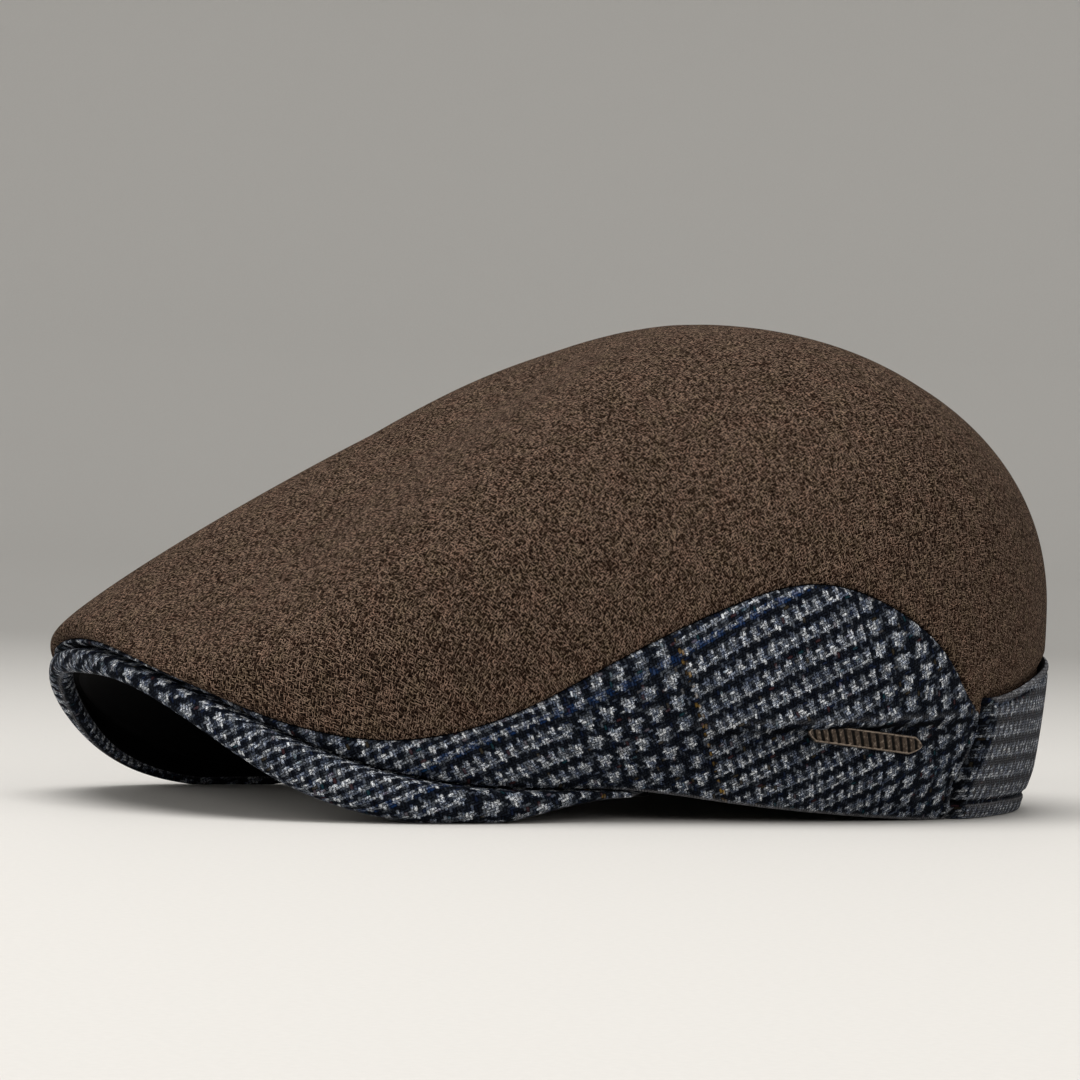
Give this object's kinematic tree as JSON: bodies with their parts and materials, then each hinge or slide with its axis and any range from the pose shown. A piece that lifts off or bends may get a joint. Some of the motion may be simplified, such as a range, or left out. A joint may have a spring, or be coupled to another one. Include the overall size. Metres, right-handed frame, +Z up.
{
  "type": "flat cap",
  "caption": "Flat cap with a smooth wool crown, wavy tweed side panels, an arched rolled-edge peak and a tweed band behind.",
  "frame": {"origin": "middle of the cap's footprint, on the surface that it rests on", "axes": "+Z up, +Y towards the back of the cap, so the peak points along -Y; +X is the wearer's left"},
  "size_m": [0.1964, 0.2758, 0.1298],
  "materials": {
    "brown_wool": "felted wool knit, matt, with short light fibres",
    "grey_tweed": "black, grey and white checked wool tweed with faint blue and mustard lines",
    "black_cotton": "plain matt black facing",
    "dark_bronze": "antiqued dark bronze with brighter raised edges"
  },
  "bodies": {
    "root": {"crown_top": "brown_wool", "side_panel_left": "grey_tweed", "side_panel_right": "grey_tweed", "back_band": "grey_tweed", "peak": "grey_tweed", "peak_lining": "black_cotton", "side_bar": "dark_bronze"}
  },
  "joints": []
}
